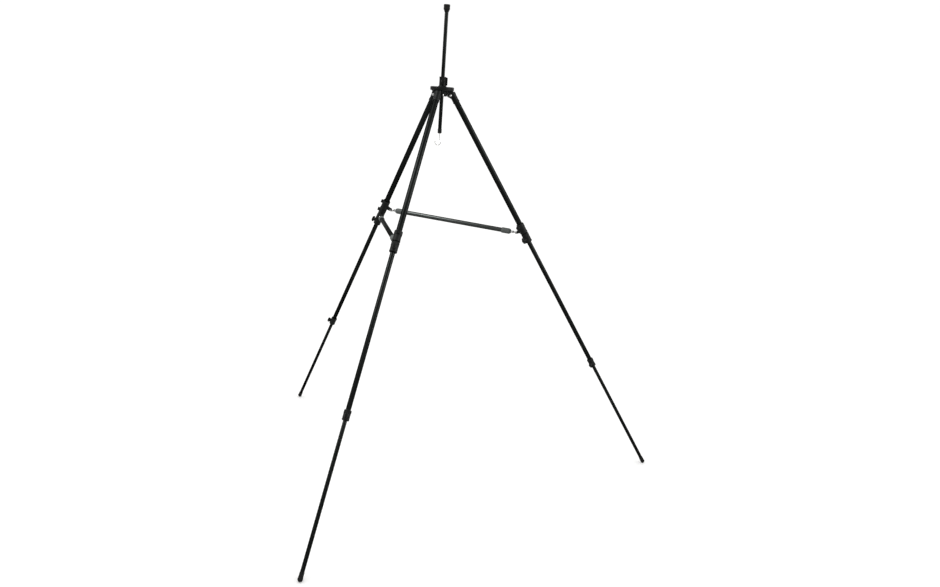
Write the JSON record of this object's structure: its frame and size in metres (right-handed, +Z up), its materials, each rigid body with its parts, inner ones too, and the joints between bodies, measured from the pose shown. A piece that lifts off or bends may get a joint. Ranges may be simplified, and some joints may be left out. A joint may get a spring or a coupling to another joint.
{
  "type": "tripod hunting stand",
  "caption": "Folding tripod shooting rest with telescopic legs, wing-screw locks, a sliding centre column with a rubber cap and hook, and rigid spreader bars.",
  "frame": {"origin": "on the ground, at the middle of the footprint box of the spread feet", "axes": "+Z up; -Y towards the front leg; the column axis is parallel to Z at y = 0.247 m"},
  "size_m": [1.7314, 1.5021, 1.852],
  "materials": {
    "anodised_tube": "satin near-black anodised",
    "bar_aluminium": "dark grey satin anodised",
    "sleeve_plastic": "grey moulded plastic",
    "casting": "black powder coat, fine texture",
    "lock_plastic": "black moulded plastic, fine grain",
    "wing_plastic": "black moulded plastic",
    "guide_nylon": "natural nylon",
    "rubber": "matt black rubber",
    "bright_steel": "bright zinc-plated steel"
  },
  "bodies": {
    "head": {"head_casting": "casting", "leg_front_hinge_pin": "bright_steel", "leg_right_hinge_pin": "bright_steel", "leg_left_hinge_pin": "bright_steel"},
    "column": {"column_tube": "anodised_tube", "column_cap": "rubber", "column_plug": "lock_plastic"},
    "bag_hook": {"bag_hook": "bright_steel"},
    "column_screw": {"column_wing_screw": "wing_plastic"},
    "leg_front_upper": {"leg_front_top_fitting": "casting", "leg_front_upper_tube": "anodised_tube", "leg_front_upper_lock_collar": "lock_plastic", "leg_front_spreader_bracket": "lock_plastic", "leg_front_spreader_cross_pin": "bright_steel"},
    "leg_front_middle": {"leg_front_middle_tube": "anodised_tube", "leg_front_middle_guide_bush": "guide_nylon", "leg_front_lower_lock_collar": "lock_plastic"},
    "leg_front_lower": {"leg_front_lower_tube": "anodised_tube", "leg_front_lower_guide_bush": "guide_nylon", "leg_front_foot": "rubber"},
    "leg_front_upper_screw": {"leg_front_upper_wing_screw": "wing_plastic"},
    "leg_front_lower_screw": {"leg_front_lower_wing_screw": "wing_plastic"},
    "leg_right_upper": {"leg_right_top_fitting": "casting", "leg_right_upper_tube": "anodised_tube", "leg_right_upper_lock_collar": "lock_plastic", "leg_right_spreader_bracket": "lock_plastic", "leg_right_spreader_cross_pin": "bright_steel"},
    "leg_right_middle": {"leg_right_middle_tube": "anodised_tube", "leg_right_middle_guide_bush": "guide_nylon", "leg_right_lower_lock_collar": "lock_plastic"},
    "leg_right_lower": {"leg_right_lower_tube": "anodised_tube", "leg_right_lower_guide_bush": "guide_nylon", "leg_right_foot": "rubber"},
    "leg_right_upper_screw": {"leg_right_upper_wing_screw": "wing_plastic"},
    "leg_right_lower_screw": {"leg_right_lower_wing_screw": "wing_plastic"},
    "leg_left_upper": {"leg_left_top_fitting": "casting", "leg_left_upper_tube": "anodised_tube", "leg_left_upper_lock_collar": "lock_plastic", "leg_left_high_spreader_bracket": "lock_plastic", "leg_left_high_spreader_cross_pin": "bright_steel", "leg_left_low_spreader_bracket": "lock_plastic", "leg_left_low_spreader_cross_pin": "bright_steel"},
    "leg_left_middle": {"leg_left_middle_tube": "anodised_tube", "leg_left_middle_guide_bush": "guide_nylon", "leg_left_lower_lock_collar": "lock_plastic"},
    "leg_left_lower": {"leg_left_lower_tube": "anodised_tube", "leg_left_lower_guide_bush": "guide_nylon", "leg_left_foot": "rubber"},
    "leg_left_upper_screw": {"leg_left_upper_wing_screw": "wing_plastic"},
    "leg_left_lower_screw": {"leg_left_lower_wing_screw": "wing_plastic"},
    "rear_spreader": {"rear_spreader_tube": "bar_aluminium", "rear_spreader_pivot_eye": "bright_steel", "rear_spreader_pivot_sleeve": "sleeve_plastic", "rear_spreader_hook": "bright_steel", "rear_spreader_hook_sleeve": "sleeve_plastic"},
    "side_spreader": {"side_spreader_tube": "bar_aluminium", "side_spreader_pivot_eye": "bright_steel", "side_spreader_pivot_sleeve": "sleeve_plastic", "side_spreader_hook": "bright_steel", "side_spreader_hook_sleeve": "sleeve_plastic"}
  },
  "joints": [
    {"name": "leg_front_fold", "type": "hinge", "parent": "head", "child": "leg_front_upper", "pos_m": [0, 0.21635, 1.52103], "axis": [1, 0, 0], "range_deg": [0, 31]},
    {"name": "leg_right_fold", "type": "hinge", "parent": "head", "child": "leg_right_upper", "pos_m": [0.02685, 0.26285, 1.52103], "axis": [-0.5, 0.866, 0], "range_deg": [0, 31]},
    {"name": "leg_left_fold", "type": "hinge", "parent": "head", "child": "leg_left_upper", "pos_m": [-0.02685, 0.26285, 1.52103], "axis": [-0.5, -0.866, 0], "range_deg": [0, 31]},
    {"name": "rear_spreader_swing", "type": "hinge", "parent": "leg_right_upper", "child": "rear_spreader", "pos_m": [0.28592, 0.43195, 1.00065], "axis": [-0.0008, -0.9544, -0.2986], "range_deg": [0, 121]},
    {"name": "side_spreader_swing", "type": "hinge", "parent": "leg_front_upper", "child": "side_spreader", "pos_m": [-0.01691, -0.09256, 1.00065], "axis": [-0.8261, -0.4779, 0.2986], "range_deg": [0, 118]},
    {"name": "leg_front_middle_slide", "type": "slide", "parent": "leg_front_upper", "child": "leg_front_middle", "axis": [0, 0.5299, 0.848], "range_m": [0, 0.54]},
    {"name": "leg_front_lower_slide", "type": "slide", "parent": "leg_front_middle", "child": "leg_front_lower", "axis": [0, 0.5299, 0.848], "range_m": [0, 0.48]},
    {"name": "leg_front_upper_screw_turn", "type": "hinge", "parent": "leg_front_upper", "child": "leg_front_upper_screw", "pos_m": [0, -0.13398, 0.98114], "axis": [0.342, -0.7969, 0.498], "range_deg": [0, 360]},
    {"name": "leg_front_lower_screw_turn", "type": "hinge", "parent": "leg_front_middle", "child": "leg_front_lower_screw", "pos_m": [0, -0.46041, 0.45874], "axis": [0.342, -0.7969, 0.498], "range_deg": [0, 360]},
    {"name": "leg_right_middle_slide", "type": "slide", "parent": "leg_right_upper", "child": "leg_right_middle", "axis": [-0.4589, -0.265, 0.848], "range_m": [0, 0.54]},
    {"name": "leg_right_lower_slide", "type": "slide", "parent": "leg_right_middle", "child": "leg_right_lower", "axis": [-0.4589, -0.265, 0.848], "range_m": [0, 0.48]},
    {"name": "leg_right_upper_screw_turn", "type": "hinge", "parent": "leg_right_upper", "child": "leg_right_upper_screw", "pos_m": [0.33024, 0.43802, 0.98114], "axis": [-0.3579, -0.8185, -0.4494], "range_deg": [0, 360]},
    {"name": "leg_right_lower_screw_turn", "type": "hinge", "parent": "leg_right_middle", "child": "leg_right_lower_screw", "pos_m": [0.61294, 0.60123, 0.45874], "axis": [-0.0117, -0.9526, -0.3039], "range_deg": [0, 360]},
    {"name": "leg_left_middle_slide", "type": "slide", "parent": "leg_left_upper", "child": "leg_left_middle", "axis": [0.4589, -0.265, 0.848], "range_m": [0, 0.54]},
    {"name": "leg_left_lower_slide", "type": "slide", "parent": "leg_left_middle", "child": "leg_left_lower", "axis": [0.4589, -0.265, 0.848], "range_m": [0, 0.48]},
    {"name": "leg_left_upper_screw_turn", "type": "hinge", "parent": "leg_left_upper", "child": "leg_left_upper_screw", "pos_m": [-0.33024, 0.43802, 0.98114], "axis": [-0.8551, -0.3909, 0.3406], "range_deg": [0, 360]},
    {"name": "leg_left_lower_screw_turn", "type": "hinge", "parent": "leg_left_middle", "child": "leg_left_lower_screw", "pos_m": [-0.61294, 0.60123, 0.45874], "axis": [-0.8551, -0.3909, 0.3406], "range_deg": [0, 360]},
    {"name": "column_slide", "type": "slide", "parent": "head", "child": "column", "axis": [0, 0, 1], "range_m": [-0.23, 0.12]},
    {"name": "column_screw_turn", "type": "hinge", "parent": "head", "child": "column_screw", "pos_m": [0, 0.24735, 1.57102], "axis": [0.4226, -0.9063, 0], "range_deg": [0, 360]},
    {"name": "bag_hook_swivel", "type": "hinge", "parent": "column", "child": "bag_hook", "pos_m": [0, 0.24735, 1.38], "axis": [0, 0, 1], "continuous": true}
  ],
  "couplings": [
    {"joint": "leg_right_fold", "follows": "leg_front_fold", "ratio": 1},
    {"joint": "leg_left_fold", "follows": "leg_front_fold", "ratio": 1},
    {"joint": "rear_spreader_swing", "follows": "leg_front_fold", "ratio": 3.9},
    {"joint": "side_spreader_swing", "follows": "leg_front_fold", "ratio": 3.78}
  ]
}
